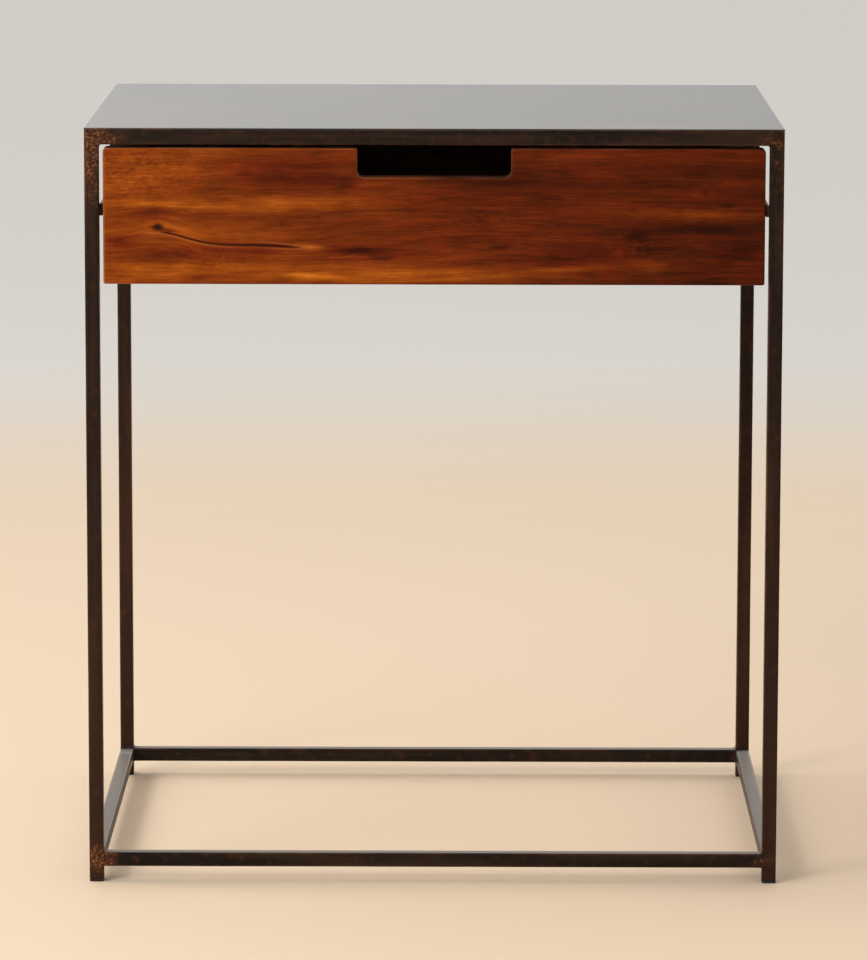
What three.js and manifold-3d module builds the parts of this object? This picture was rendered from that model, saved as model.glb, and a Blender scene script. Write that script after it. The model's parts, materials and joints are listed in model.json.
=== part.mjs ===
// Side table with one drawer: a welded frame of square bar under a sheet-metal top, and a wooden
// drawer that slides on two runners. Units are millimetres and +Z is up. The origin is on the floor
// under the middle of the table, and the drawer's front faces -Y.
import * as THREE from "three";
import { mergeVertices } from "three/addons/utils/BufferGeometryUtils.js";
import Module from "manifold-3d";

const wasm = await Module();
wasm.setup();

// ---------------------------------------------------------------- driving dimensions

const WIDTH = 527;
const DEPTH = 400;
const HEIGHT = 580;

const BAR = 11; // side of the square bar that the whole frame is welded from
const BAR_CORNER = 1.2; // radius along the bar's four edges
const SHEET = 1.5; // thickness of the top
const SHEET_EASING = 0.4; // rounding of the top's edges
const PAD = 2.5; // height of the pad under each leg
const PAD_EASING = 0.8;
const LOW_RAIL_BOTTOM = 12; // floor to the underside of the low rails
const STRIP_THICKNESS = 2.6; // flat strips, welded inside the posts, that carry the runners
const STRIP_HEIGHT = 9;
const STRIP_OVERLAP = 8; // how much of each post's inner face a strip covers
const RUNNER_Z = 518; // centre height of the strips and the runners

const FIT = 0.1; // gap left between pieces that touch
const LOOSE = 0.3; // gap around a piece that sits in a groove

const FRONT_WIDTH = 499;
const FRONT_HEIGHT = 103;
const FRONT_THICKNESS = 18;
const FRONT_EASING = 1; // rounding of the front's long edges
const FRONT_TOP_CORNER = 2; // radius of its two upper corners inside that rounding
const FRONT_LOW_CORNER = 0.6;
const FRONT_RECESS = 1; // how far the front sits behind the face of the frame
const FRONT_TOP_GAP = 2.5; // gap between the drawer front and the rail above it

const PULL_WIDTH = 116; // the finger pull cut into the top edge of the front
const PULL_DEPTH = 22;
const PULL_CORNER = 5;
const PULL_LIP = 1.5;

const SIDE_THICKNESS = 15;
const SIDE_HEIGHT = 94;
const SIDE_RISE = 3.5; // the sides' lower edge above the front's lower edge
const BACK_THICKNESS = 12;
const BACK_TOP_DROP = 4; // the back's top edge below the sides' top edge
const BOX_REAR = 185; // y of the rear end of the drawer box
const BOTTOM_THICKNESS = 6;
const BOTTOM_RISE = 6; // the bottom panel's underside above the sides' lower edge
const BOTTOM_GROOVE = 6.5; // depth of the groove that holds the bottom panel

const RUNNER_WIDTH = 5.3;
const RUNNER_HEIGHT = 9;
const RUNNER_GROOVE = 8; // depth of the groove in the drawer side
const RUNNER_UNDER_GAP = 1; // gap under the runner in the groove

const TRAVEL = 285; // how far the drawer opens before its stop screws meet the runners'
const STOP_SCREW_Y = 168;
const REAR_SCREW_Y = 176;

const DOWEL = { radius: 4, length: 30, chamfer: 0.6, inFront: 12, inSide: 9 };
const RUNNER_SCREW = { radius: 2, head: 3.8, rise: 2.1, length: 7.6, taper: 0.5 };
const STOP_SCREW = { radius: 1.8, head: 3.5, rise: 2.1, length: 9.4, taper: 0.3 };
const BOTTOM_SCREW = { radius: 1.75, head: 3.5, rise: 1.8, length: 18, taper: 1.5 };
const SOCKET = { radius: 1.5, depth: 1.1 }; // hexagonal drive recess in every screw head
const HOLE_SLACK = 0.15; // a screw or dowel hole's radius over what it holds
const SUNK_RIM = 0.3; // straight rim around a sunk screw head

const FRONT_DOWELS = [["lower", 28], ["upper", 83]]; // heights above the front's lower edge
const BACK_DOWELS = [["lower", 16], ["upper", 64]]; // heights above the bottom panel
const BOTTOM_SCREWS = [["left", -150], ["middle", 0], ["right", 150]];

// ---------------------------------------------------------------- positions worked out from them

const SHEET_BOTTOM = HEIGHT - SHEET;
const TOP_RAIL_BOTTOM = SHEET_BOTTOM - FIT - BAR;
const POST_X = (WIDTH - BAR) / 2;
const POST_Y = (DEPTH - BAR) / 2;
const INNER_X = WIDTH / 2 - BAR; // inner face of the posts
const INNER_Y = DEPTH / 2 - BAR;
const STRIP_X = INNER_X - FIT - STRIP_THICKNESS; // inner face of the strips

const FRONT_FACE = -DEPTH / 2 + FRONT_RECESS;
const FRONT_BACK = FRONT_FACE + FRONT_THICKNESS;
const FRONT_TOP = TOP_RAIL_BOTTOM - FRONT_TOP_GAP;
const FRONT_BOTTOM = FRONT_TOP - FRONT_HEIGHT;

const BOX_X = FRONT_WIDTH / 2; // outer face of the drawer sides
const BOX_INNER_X = BOX_X - SIDE_THICKNESS;
const SIDE_BOTTOM = FRONT_BOTTOM + SIDE_RISE;
const SIDE_TOP = SIDE_BOTTOM + SIDE_HEIGHT;
const BOTTOM_Z = SIDE_BOTTOM + BOTTOM_RISE;
const BOTTOM_TOP = BOTTOM_Z + BOTTOM_THICKNESS;
const BACK_FRONT = BOX_REAR - BACK_THICKNESS;
const BACK_MIDDLE = BOX_REAR - BACK_THICKNESS / 2;
const SIDE_MIDDLE = BOX_X - SIDE_THICKNESS / 2;

const STOP_Y = STOP_SCREW_Y - TRAVEL - STOP_SCREW.radius - RUNNER_SCREW.head - LOOSE;
const MIDDLE_SCREW_Y = (STOP_Y + REAR_SCREW_Y) / 2;
const RUNNER_SCREWS = [["front", STOP_Y], ["middle", MIDDLE_SCREW_Y], ["rear", REAR_SCREW_Y]];

const SIDES = [["left", -1], ["right", 1]];
const ENDS = [["front", -1], ["back", 1]];

// ---------------------------------------------------------------- materials

const blackIron = new THREE.MeshStandardMaterial({ color: "#2a2521", roughness: 0.5, metalness: 0.8 });
const wood = new THREE.MeshStandardMaterial({ color: "#7c3f18", roughness: 0.42, metalness: 0 });
const boxWood = new THREE.MeshStandardMaterial({ color: "#9a6234", roughness: 0.6, metalness: 0 });
const plywood = new THREE.MeshStandardMaterial({ color: "#b58a5c", roughness: 0.7, metalness: 0 });
const nylon = new THREE.MeshStandardMaterial({ color: "#1b1a19", roughness: 0.6, metalness: 0 });
const steel = new THREE.MeshStandardMaterial({ color: "#4a4642", roughness: 0.4, metalness: 1 });
const rubber = new THREE.MeshStandardMaterial({ color: "#151413", roughness: 0.85, metalness: 0 });

// ---------------------------------------------------------------- joining and cutting

function solidOf(geometry) {
  const bare = geometry.clone();
  bare.deleteAttribute("normal");
  bare.deleteAttribute("uv");
  const merged = mergeVertices(bare, 1e-3);
  return new wasm.Manifold(
    new wasm.Mesh({
      numProp: 3,
      vertProperties: merged.attributes.position.array,
      triVerts: new Uint32Array(merged.index.array),
    }),
  );
}

function geometryOf(solid) {
  const mesh = solid.getMesh();
  const geometry = new THREE.BufferGeometry();
  geometry.setAttribute("position", new THREE.BufferAttribute(mesh.vertProperties, 3));
  geometry.setIndex(new THREE.BufferAttribute(mesh.triVerts, 1));
  geometry.computeVertexNormals();
  return geometry;
}

function cut(geometry, ...tools) {
  const solid = tools.reduce((left, tool) => left.subtract(solidOf(tool)), solidOf(geometry));
  return geometryOf(solid);
}

// Reflects a geometry and turns each triangle round again, so that it still faces out.
function mirroredInX(geometry) {
  const copy = geometry.clone().scale(-1, 1, 1);
  const index = copy.index.array;
  for (let i = 0; i < index.length; i += 3) {
    [index[i + 1], index[i + 2]] = [index[i + 2], index[i + 1]];
  }
  return copy;
}

// ---------------------------------------------------------------- basic shapes

// An axis-aligned block from its lowest and highest corners.
function block([x0, y0, z0], [x1, y1, z1]) {
  const geometry = new THREE.BoxGeometry(x1 - x0, y1 - y0, z1 - z0);
  return geometry.translate((x0 + x1) / 2, (y0 + y1) / 2, (z0 + z1) / 2);
}

function roundedRectangle(width, height, radius) {
  const [x, y] = [width / 2 - radius, height / 2 - radius];
  const shape = new THREE.Shape();
  shape.absarc(x, y, radius, 0, Math.PI / 2);
  shape.absarc(-x, y, radius, Math.PI / 2, Math.PI);
  shape.absarc(-x, -y, radius, Math.PI, 1.5 * Math.PI);
  shape.absarc(x, -y, radius, 1.5 * Math.PI, 2 * Math.PI);
  return shape;
}

// A plate on z = 0 with rounded edges. Its outline is drawn smaller all round by the easing.
function easedPlate(outline, thickness, easing) {
  const plate = new THREE.ExtrudeGeometry(outline, {
    depth: thickness - 2 * easing,
    bevelThickness: easing,
    bevelSize: easing,
    bevelSegments: 2,
    curveSegments: 4,
  });
  return plate.translate(0, 0, easing);
}

function easedRectangle(width, depth, thickness, easing) {
  const outline = roundedRectangle(width - 2 * easing, depth - 2 * easing, BAR_CORNER);
  return easedPlate(outline, thickness, easing);
}

// A solid of revolution about Z, from its profile of [radius, z] points.
function lathed(profile) {
  const points = profile.map(([r, z]) => new THREE.Vector2(r, z));
  return new THREE.LatheGeometry(points, 16).rotateX(Math.PI / 2);
}

// A round rod along +Z that starts at the origin.
function rod(radius, length, sides = 16) {
  const geometry = new THREE.CylinderGeometry(radius, radius, length, sides);
  return geometry.rotateX(Math.PI / 2).translate(0, 0, length / 2);
}

// Matrices that turn a geometry that runs along +Z so that it runs along X, -X or Y.
const turned = (x, y, z) =>
  new THREE.Matrix4().makeBasis(new THREE.Vector3(...x), new THREE.Vector3(...y), new THREE.Vector3(...z));
const alongX = turned([0, 1, 0], [0, 0, 1], [1, 0, 0]);
const alongMinusX = turned([0, -1, 0], [0, 0, 1], [-1, 0, 0]);
const alongY = turned([0, 0, 1], [1, 0, 0], [0, 1, 0]);
const outward = (x) => (x < 0 ? alongMinusX : alongX);
const inward = (x) => outward(-x);

// ---------------------------------------------------------------- fasteners

// A screw along +Z: its shank starts at the origin, and its domed head is below it.
function domedScrew(screw) {
  const { head, rise } = screw;
  const crown = [[0, -rise], [head * 0.45, -rise], [head * 0.85, -rise * 0.72]];
  const rim = [[head, -rise * 0.25], [head, 0]];
  return socketed([...crown, ...rim, ...shank(screw, 0)], -rise);
}

// A screw along +Z whose head is a cone that goes down from a flat face at the origin.
function sunkScrew(screw) {
  const { radius, head } = screw;
  return socketed([[0, 0], [head, 0], [head, SUNK_RIM], ...shank(screw, head - radius + SUNK_RIM)], 0);
}

function shank({ radius, length, taper }, start) {
  return [[radius, start], [radius, length - taper], [radius - taper * 0.8, length], [0, length]];
}

function socketed(profile, face) {
  return cut(lathed(profile), rod(SOCKET.radius, SOCKET.depth + 1, 6).translate(0, 0, face - 1));
}

// A hole along +Z from the origin. It starts a little before it, so that it cuts clean.
function holeFor({ radius }, depth) {
  return rod(radius + HOLE_SLACK, depth + 1).translate(0, 0, -1);
}

// A screw hole with a cone at its mouth for a sunk head.
function sunkHoleFor({ radius, head }, depth) {
  const [narrow, wide] = [radius + HOLE_SLACK, head + LOOSE];
  const rim = SUNK_RIM + LOOSE;
  const cone = [[wide, -1], [wide, rim], [narrow, rim + wide - narrow]];
  return lathed([[0, -1], ...cone, [narrow, depth], [0, depth]]);
}

function dowel() {
  const { radius, length, chamfer } = DOWEL;
  const end = radius - chamfer;
  const flank = [[radius, chamfer], [radius, length - chamfer]];
  return lathed([[0, 0], [end, 0], ...flank, [end, length], [0, length]]);
}

// ---------------------------------------------------------------- the table

const table = new THREE.Group();

function place(name, geometry, material, x = 0, y = 0, z = 0) {
  const mesh = new THREE.Mesh(geometry, material);
  mesh.name = name;
  mesh.position.set(x, y, z);
  table.add(mesh);
}

// A length of the frame's square bar along Z, centred on the origin.
function squareBar(length) {
  const shape = roundedRectangle(BAR, BAR, BAR_CORNER);
  const bar = new THREE.ExtrudeGeometry(shape, { depth: length, bevelEnabled: false, curveSegments: 3 });
  return bar.translate(0, 0, -length / 2);
}

// The low rails and the top rails each make a rectangle between the four posts.
function buildFrame() {
  const postBottom = PAD + FIT;
  const postLength = SHEET_BOTTOM - FIT - postBottom;
  const postMiddle = postBottom + postLength / 2;
  for (const [end, y] of ENDS) {
    for (const [side, x] of SIDES) {
      const pad = easedRectangle(BAR, BAR, PAD, PAD_EASING);
      place(`post_${end}_${side}`, squareBar(postLength), blackIron, x * POST_X, y * POST_Y, postMiddle);
      place(`foot_pad_${end}_${side}`, pad, rubber, x * POST_X, y * POST_Y, 0);
    }
  }

  const crossLength = 2 * (INNER_X - FIT);
  const sideLength = 2 * (INNER_Y - FIT);
  const levels = [["low", LOW_RAIL_BOTTOM + BAR / 2], ["top", TOP_RAIL_BOTTOM + BAR / 2]];
  for (const [level, z] of levels) {
    for (const [end, y] of ENDS) {
      const rail = squareBar(crossLength).applyMatrix4(alongX);
      place(`${level}_rail_${end}`, rail, blackIron, 0, y * POST_Y, z);
    }
    for (const [side, x] of SIDES) {
      const rail = squareBar(sideLength).applyMatrix4(alongY);
      place(`${level}_rail_${side}`, rail, blackIron, x * POST_X, 0, z);
    }
  }
  for (const [side, x] of SIDES) {
    place(`runner_strip_${side}`, runnerStrip(x), blackIron, x * STRIP_X, 0, RUNNER_Z);
  }

  place("top_panel", easedRectangle(WIDTH, DEPTH, SHEET, SHEET_EASING), blackIron, 0, 0, SHEET_BOTTOM);
}

// A flat strip with its inner face on x = 0, and a hole right through it for each runner screw.
function runnerStrip(x) {
  const length = 2 * (INNER_Y + STRIP_OVERLAP);
  const strip = new THREE.BoxGeometry(STRIP_THICKNESS, length, STRIP_HEIGHT);
  strip.translate(x * STRIP_THICKNESS / 2, 0, 0);
  const holes = RUNNER_SCREWS.map(([, y]) =>
    holeFor(RUNNER_SCREW, STRIP_THICKNESS + 1).applyMatrix4(outward(x)).translate(0, y, 0));
  return cut(strip, ...holes);
}

// The front screw's head stands proud of the runner and stops the drawer. The others are sunk.
function buildRunners() {
  const middle = STRIP_X - FIT - RUNNER_WIDTH / 2;
  const [front, rear] = [FRONT_BACK + LOOSE, INNER_Y - FIT];
  for (const [side, x] of SIDES) {
    const strip = new THREE.BoxGeometry(RUNNER_WIDTH, rear - front, RUNNER_HEIGHT);
    strip.translate(x * middle, (front + rear) / 2, 0);
    const face = x * (middle - RUNNER_WIDTH / 2);
    const holes = RUNNER_SCREWS.map(([name, y]) => {
      const hole = name === "front" ? holeFor : sunkHoleFor;
      return hole(RUNNER_SCREW, RUNNER_WIDTH + 1).applyMatrix4(outward(x)).translate(face, y, 0);
    });
    place(`runner_${side}`, cut(strip, ...holes), nylon, 0, 0, RUNNER_Z);
    for (const [name, y] of RUNNER_SCREWS) {
      const proud = name === "front";
      const screw = (proud ? domedScrew : sunkScrew)(RUNNER_SCREW).applyMatrix4(outward(x));
      place(`runner_screw_${side}_${name}`, screw, steel, face + x * (proud ? -FIT : FIT), y, RUNNER_Z);
    }
  }
}

// The front's outline in X and Z, with the finger pull cut out of the middle of its top edge. The
// arcs go round it from the lower right corner.
function frontOutline() {
  const [right, low, high] = [BOX_X - FRONT_EASING, FRONT_BOTTOM + FRONT_EASING, FRONT_TOP - FRONT_EASING];
  const pull = PULL_WIDTH / 2 + FRONT_EASING;
  const floor = FRONT_TOP - PULL_DEPTH - FRONT_EASING;
  const inner = PULL_CORNER + FRONT_EASING;
  const [upper, lower] = [FRONT_TOP_CORNER, FRONT_LOW_CORNER];
  const quarter = Math.PI / 2;
  const shape = new THREE.Shape();
  shape.absarc(right - lower, low + lower, lower, -quarter, 0);
  shape.absarc(right - upper, high - upper, upper, 0, quarter);
  shape.absarc(pull + PULL_LIP, high - PULL_LIP, PULL_LIP, quarter, 2 * quarter);
  shape.absarc(pull - inner, floor + inner, inner, 0, -quarter, true);
  shape.absarc(-pull + inner, floor + inner, inner, -quarter, -2 * quarter, true);
  shape.absarc(-pull - PULL_LIP, high - PULL_LIP, PULL_LIP, 0, quarter);
  shape.absarc(-right + upper, high - upper, upper, quarter, 2 * quarter);
  shape.absarc(-right + lower, low + lower, lower, 2 * quarter, 3 * quarter);
  return shape;
}

// The front has a groove for the bottom panel in its back, and a hole for each dowel.
function drawerFront() {
  const slab = easedPlate(frontOutline(), FRONT_THICKNESS, FRONT_EASING);
  slab.rotateX(Math.PI / 2).translate(0, FRONT_BACK, 0);
  const reach = BOX_INNER_X + BOTTOM_GROOVE;
  const groove = block(
    [-reach, FRONT_BACK - BOTTOM_GROOVE, BOTTOM_Z - LOOSE],
    [reach, FRONT_BACK + 1, BOTTOM_TOP + LOOSE],
  );
  const depth = DOWEL.inFront + LOOSE;
  const holes = SIDES.flatMap(([, x]) => FRONT_DOWELS.map(([, z]) =>
    holeFor(DOWEL, depth).rotateX(Math.PI / 2).translate(x * SIDE_MIDDLE, FRONT_BACK, FRONT_BOTTOM + z)));
  return cut(slab, groove, ...holes);
}

// A side has a groove outside for the runner and one inside for the bottom panel, a hole for each
// dowel at its ends, and a hole right through for the stop screw.
function drawerSide() {
  const board = block([BOX_INNER_X, FRONT_BACK + FIT, SIDE_BOTTOM], [BOX_X, BOX_REAR, SIDE_TOP]);
  const runnerGroove = block(
    [BOX_X - RUNNER_GROOVE, FRONT_BACK - 1, RUNNER_Z - RUNNER_HEIGHT / 2 - RUNNER_UNDER_GAP],
    [BOX_X + 1, BOX_REAR + 1, RUNNER_Z + RUNNER_HEIGHT / 2 + LOOSE],
  );
  const bottomGroove = block(
    [BOX_INNER_X - 1, FRONT_BACK - 1, BOTTOM_Z - LOOSE],
    [BOX_INNER_X + BOTTOM_GROOVE, BOX_REAR + 1, BOTTOM_TOP + LOOSE],
  );
  const stopHole = holeFor(STOP_SCREW, SIDE_THICKNESS + 1).applyMatrix4(alongX);
  stopHole.translate(BOX_INNER_X, STOP_SCREW_Y, RUNNER_Z);
  const frontDepth = DOWEL.length - DOWEL.inFront + LOOSE;
  const frontHoles = FRONT_DOWELS.map(([, z]) =>
    holeFor(DOWEL, frontDepth).rotateX(-Math.PI / 2).translate(SIDE_MIDDLE, FRONT_BACK, FRONT_BOTTOM + z));
  const backDepth = DOWEL.inSide + LOOSE;
  const backHoles = BACK_DOWELS.map(([, z]) =>
    holeFor(DOWEL, backDepth).applyMatrix4(alongX).translate(BOX_INNER_X, BACK_MIDDLE, BOTTOM_TOP + z));
  return cut(board, runnerGroove, bottomGroove, stopHole, ...frontHoles, ...backHoles);
}

// The back stands on the bottom panel, which is screwed to it from below.
function drawerBack() {
  const half = BOX_INNER_X - FIT;
  const board = block([-half, BACK_FRONT, BOTTOM_TOP + FIT], [half, BOX_REAR, SIDE_TOP - BACK_TOP_DROP]);
  const dowelDepth = DOWEL.length - DOWEL.inSide + LOOSE;
  const dowelHoles = SIDES.flatMap(([, x]) => BACK_DOWELS.map(([, z]) =>
    holeFor(DOWEL, dowelDepth).applyMatrix4(inward(x)).translate(x * half, BACK_MIDDLE, BOTTOM_TOP + z)));
  const screwDepth = BOTTOM_SCREW.length - BOTTOM_THICKNESS + LOOSE;
  const screwHoles = BOTTOM_SCREWS.map(([, x]) =>
    holeFor(BOTTOM_SCREW, screwDepth).translate(x, BACK_MIDDLE, BOTTOM_TOP));
  return cut(board, ...dowelHoles, ...screwHoles);
}

function drawerBottom() {
  const half = BOX_INNER_X + BOTTOM_GROOVE - LOOSE;
  const front = FRONT_BACK - BOTTOM_GROOVE + LOOSE;
  const panel = block([-half, front, BOTTOM_Z], [half, BOX_REAR, BOTTOM_TOP]);
  const holes = BOTTOM_SCREWS.map(([, x]) =>
    holeFor(BOTTOM_SCREW, BOTTOM_THICKNESS + 1).translate(x, BACK_MIDDLE, BOTTOM_Z));
  return cut(panel, ...holes);
}

function buildDrawer() {
  place("drawer_front", drawerFront(), wood);
  place("drawer_side_left", mirroredInX(drawerSide()), boxWood);
  place("drawer_side_right", drawerSide(), boxWood);
  place("drawer_back", drawerBack(), boxWood);
  place("drawer_bottom", drawerBottom(), plywood);
  for (const [side, x] of SIDES) {
    const stopScrew = domedScrew(STOP_SCREW).applyMatrix4(outward(x));
    place(`stop_screw_${side}`, stopScrew, steel, x * (BOX_INNER_X - FIT), STOP_SCREW_Y, RUNNER_Z);
    for (const [level, z] of FRONT_DOWELS) {
      const peg = dowel().rotateX(-Math.PI / 2);
      const start = FRONT_BACK - DOWEL.inFront;
      place(`dowel_front_${side}_${level}`, peg, boxWood, x * SIDE_MIDDLE, start, FRONT_BOTTOM + z);
    }
    for (const [level, z] of BACK_DOWELS) {
      const peg = dowel().applyMatrix4(inward(x));
      const start = x * (BOX_INNER_X + DOWEL.inSide);
      place(`dowel_back_${side}_${level}`, peg, boxWood, start, BACK_MIDDLE, BOTTOM_TOP + z);
    }
  }
  for (const [name, x] of BOTTOM_SCREWS) {
    place(`bottom_screw_${name}`, domedScrew(BOTTOM_SCREW), steel, x, BACK_MIDDLE, BOTTOM_Z - FIT);
  }
}

buildFrame();
buildRunners();
buildDrawer();

export default table;
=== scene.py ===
"""Side table with one drawer: the looks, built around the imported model.

Lengths are in millimetres until a mesh is made, and every mesh is in the model's own frame in
metres: +Z up, the floor at 0, the drawer's front facing -Y. Colours are display values, 0 to 255.
"""

import json
import math
import random

import bmesh
import bpy
import numpy as np
from mathutils import Matrix, Vector, noise
from mathutils.geometry import delaunay_2d_cdt


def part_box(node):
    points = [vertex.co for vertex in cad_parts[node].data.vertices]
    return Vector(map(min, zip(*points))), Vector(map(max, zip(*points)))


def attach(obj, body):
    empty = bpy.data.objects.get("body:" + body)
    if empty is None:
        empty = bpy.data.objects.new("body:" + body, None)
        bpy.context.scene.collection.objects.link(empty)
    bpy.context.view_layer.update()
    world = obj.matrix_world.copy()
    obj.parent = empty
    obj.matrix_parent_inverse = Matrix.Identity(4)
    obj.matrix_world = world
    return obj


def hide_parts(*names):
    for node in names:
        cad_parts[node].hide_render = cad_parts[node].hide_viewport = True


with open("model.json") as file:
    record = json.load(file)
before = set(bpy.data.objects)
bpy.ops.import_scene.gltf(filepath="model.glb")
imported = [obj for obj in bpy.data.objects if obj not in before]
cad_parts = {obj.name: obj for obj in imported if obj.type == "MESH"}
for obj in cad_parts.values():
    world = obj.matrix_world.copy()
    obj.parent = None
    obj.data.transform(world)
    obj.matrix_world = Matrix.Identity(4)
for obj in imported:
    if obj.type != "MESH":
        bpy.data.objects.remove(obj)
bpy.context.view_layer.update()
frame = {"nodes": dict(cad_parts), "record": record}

MM = 0.001
SCENE = bpy.context.scene
BODY_OF = {
    node: body
    for body, nodes in frame["record"]["behaviour"]["bodies"].items()
    for node in nodes
}

# ------------------------------------------------------------------ shapes inside the nodes' boxes

BAR_CORNER = 1.2  # radius along a bar's four edges
PULL_WIDTH = 116  # the finger pull in the front's top edge
PULL_DEPTH = 22
PULL_CORNER = 5
PULL_LIP = 2.5
FRONT_TOP_CORNER = 3
FRONT_LOW_CORNER = 1.7
FRONT_EASING = 1.1  # rounding of the front's long edges
RUNNER_GROOVE = 8  # depth of the groove in the drawer's sides, and the heights it lies between
RUNNER_GROOVE_LOW = 512.5
RUNNER_GROOVE_HIGH = 522.8
BOTTOM_GROOVE = 6.5  # depth of the groove for the bottom panel
BOTTOM_GROOVE_SLACK = 0.3  # play above and below the panel
SIDE_CORNER = 0.8  # how far to either side of a corner its rounding reaches, on the drawer's sides
SIDE_EASING = 0.45  # rounding of the sides' ends
CAP_RING = 0.08  # flat ring round an end; with the easing less than the corners' tightest radius
HOLE_SLACK = 0.15  # how much wider in radius a recess is than its screw's head

# ------------------------------------------------------------------ colour


def linear(channel):
    """One display value, 0 to 255, as scene light."""
    share = channel / 255
    return share / 12.92 if share <= 0.04045 else ((share + 0.055) / 1.055) ** 2.4


def rgb(red, green, blue):
    return (linear(red), linear(green), linear(blue), 1.0)


# ------------------------------------------------------------------ writing materials


class Nodes:
    """A node tree under construction. Each method returns an output socket."""

    def __init__(self, tree):
        self.tree = tree

    def add(self, kind, output=0, inputs=None, **settings):
        node = self.tree.nodes.new(kind)
        for name, value in settings.items():
            setattr(node, name, value)
        for key, value in (inputs or {}).items():
            self.feed(node.inputs[key], value)
        return node.outputs[output]

    def feed(self, socket, value):
        if isinstance(value, bpy.types.NodeSocket):
            self.tree.links.new(value, socket)
        else:
            socket.default_value = value

    def math(self, operation, a, b):
        return self.add("ShaderNodeMath", 0, {0: a, 1: b}, operation=operation)

    def plus(self, a, b):
        return self.math("ADD", a, b)

    def times(self, a, b):
        return self.math("MULTIPLY", a, b)

    def stretched(self, vector, sizes, offset=(0, 0, 0)):
        """The vector with one unit per sizes[i] millimetres along each axis, moved by offset."""
        scale = tuple(1 / (size * MM) for size in sizes)
        inputs = {"Vector": vector, "Location": offset, "Scale": scale}
        return self.add("ShaderNodeMapping", 0, inputs)

    def noise(self, vector, detail=3.0, roughness=0.55, distortion=0.0):
        """Cloudy noise from 0 to 1, one unit of the vector to a cell."""
        inputs = {"Vector": vector, "Scale": 1.0, "Detail": detail, "Roughness": roughness}
        inputs["Distortion"] = distortion
        return self.add("ShaderNodeTexNoise", "Fac", inputs)

    def step(self, value, low, high, out_low=0.0, out_high=1.0):
        """Smoothly from out_low to out_high as the value goes from low to high."""
        inputs = {0: value, 1: low, 2: high, 3: out_low, 4: out_high}
        return self.add("ShaderNodeMapRange", 0, inputs, interpolation_type="SMOOTHSTEP")

    def ramp(self, value, stops):
        """Colour at each (place, colour) stop, blended between them."""
        ramp_socket = self.add("ShaderNodeValToRGB", "Color", {"Fac": value})
        elements = ramp_socket.node.color_ramp.elements
        while len(elements) < len(stops):
            elements.new(0.5)
        for element, (place, colour) in zip(elements, stops):
            element.position = place
            element.color = rgb(*colour)
        return ramp_socket

    def mix(self, share, a, b):
        """Colour a where the share is 0, and b where it is 1."""
        node = self.tree.nodes.new("ShaderNodeMix")
        node.data_type = "RGBA"
        for socket, value in ((node.inputs[0], share), (node.inputs[6], a), (node.inputs[7], b)):
            self.feed(socket, value)
        return node.outputs[2]

    def bump(self, height, millimetres):
        inputs = {"Height": height, "Distance": millimetres * MM, "Strength": 1.0}
        return self.add("ShaderNodeBump", 0, inputs)


class Shader(Nodes):
    """A Principled material under construction."""

    def __init__(self, name):
        self.material = bpy.data.materials.new(name)
        self.material.use_nodes = True
        super().__init__(self.material.node_tree)
        self.tree.nodes.clear()
        output = self.tree.nodes.new("ShaderNodeOutputMaterial")
        self.surface = self.tree.nodes.new("ShaderNodeBsdfPrincipled")
        self.tree.links.new(self.surface.outputs[0], output.inputs[0])
        self.place = self.add("ShaderNodeTexCoord", "Object")

    def set(self, **sockets):
        """Sets or links the surface's sockets, with underscores for the spaces in their names."""
        for name, value in sockets.items():
            self.feed(self.surface.inputs[name.replace("_", " ")], value)

    def attribute(self, name, output="Fac"):
        return self.add("ShaderNodeAttribute", output, attribute_name=name)


# ------------------------------------------------------------------ writing meshes


def new_piece(name, points, faces, material, smooth_angle=35, attributes=None):
    """A closed mesh from points in millimetres, with any named values per point stored on it."""
    mesh = bpy.data.meshes.new(name)
    mesh.from_pydata([[c * MM for c in p] for p in points], [], [list(f) for f in faces])
    for key, values in (attributes or {}).items():
        values = np.array(values, np.float32)
        is_vector = values.ndim == 2
        kind = "FLOAT_VECTOR" if is_vector else "FLOAT"
        stored = mesh.attributes.new(key, kind, "POINT")
        stored.data.foreach_set("vector" if is_vector else "value", values.ravel())
    mesh.materials.append(material)
    work = bmesh.new()
    work.from_mesh(mesh)
    bmesh.ops.recalc_face_normals(work, faces=work.faces)
    work.to_mesh(mesh)
    work.free()
    mesh.shade_smooth()
    mesh.set_sharp_from_angle(angle=math.radians(smooth_angle))
    piece = bpy.data.objects.new(name, mesh)
    SCENE.collection.objects.link(piece)
    return piece


def stand_in(piece, node):
    """The piece moves with the CAD node's body and is shown in its place."""
    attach(piece, BODY_OF[node])
    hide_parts(node)
    return piece


def cad_box(node):
    """A CAD node's lowest and highest corner, in millimetres."""
    low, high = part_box(node)
    return Vector(low) / MM, Vector(high) / MM


def spread(start, end, spacing):
    """Places from start to end, both included, about spacing apart."""
    steps = max(1, round(abs(end - start) / spacing))
    return [start + (end - start) * i / steps for i in range(steps + 1)]


def rounded_side(low, high, radius, spacing):
    """Places along one side of a rounded box, close together where it rounds off."""
    rounding = [radius * (1 - math.tan(math.radians(angle))) for angle in (45, 30, 15)]
    middle = spread(low + radius, high - radius, spacing)
    return [low + r for r in rounding] + middle + [high - r for r in reversed(rounding)]


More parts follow.
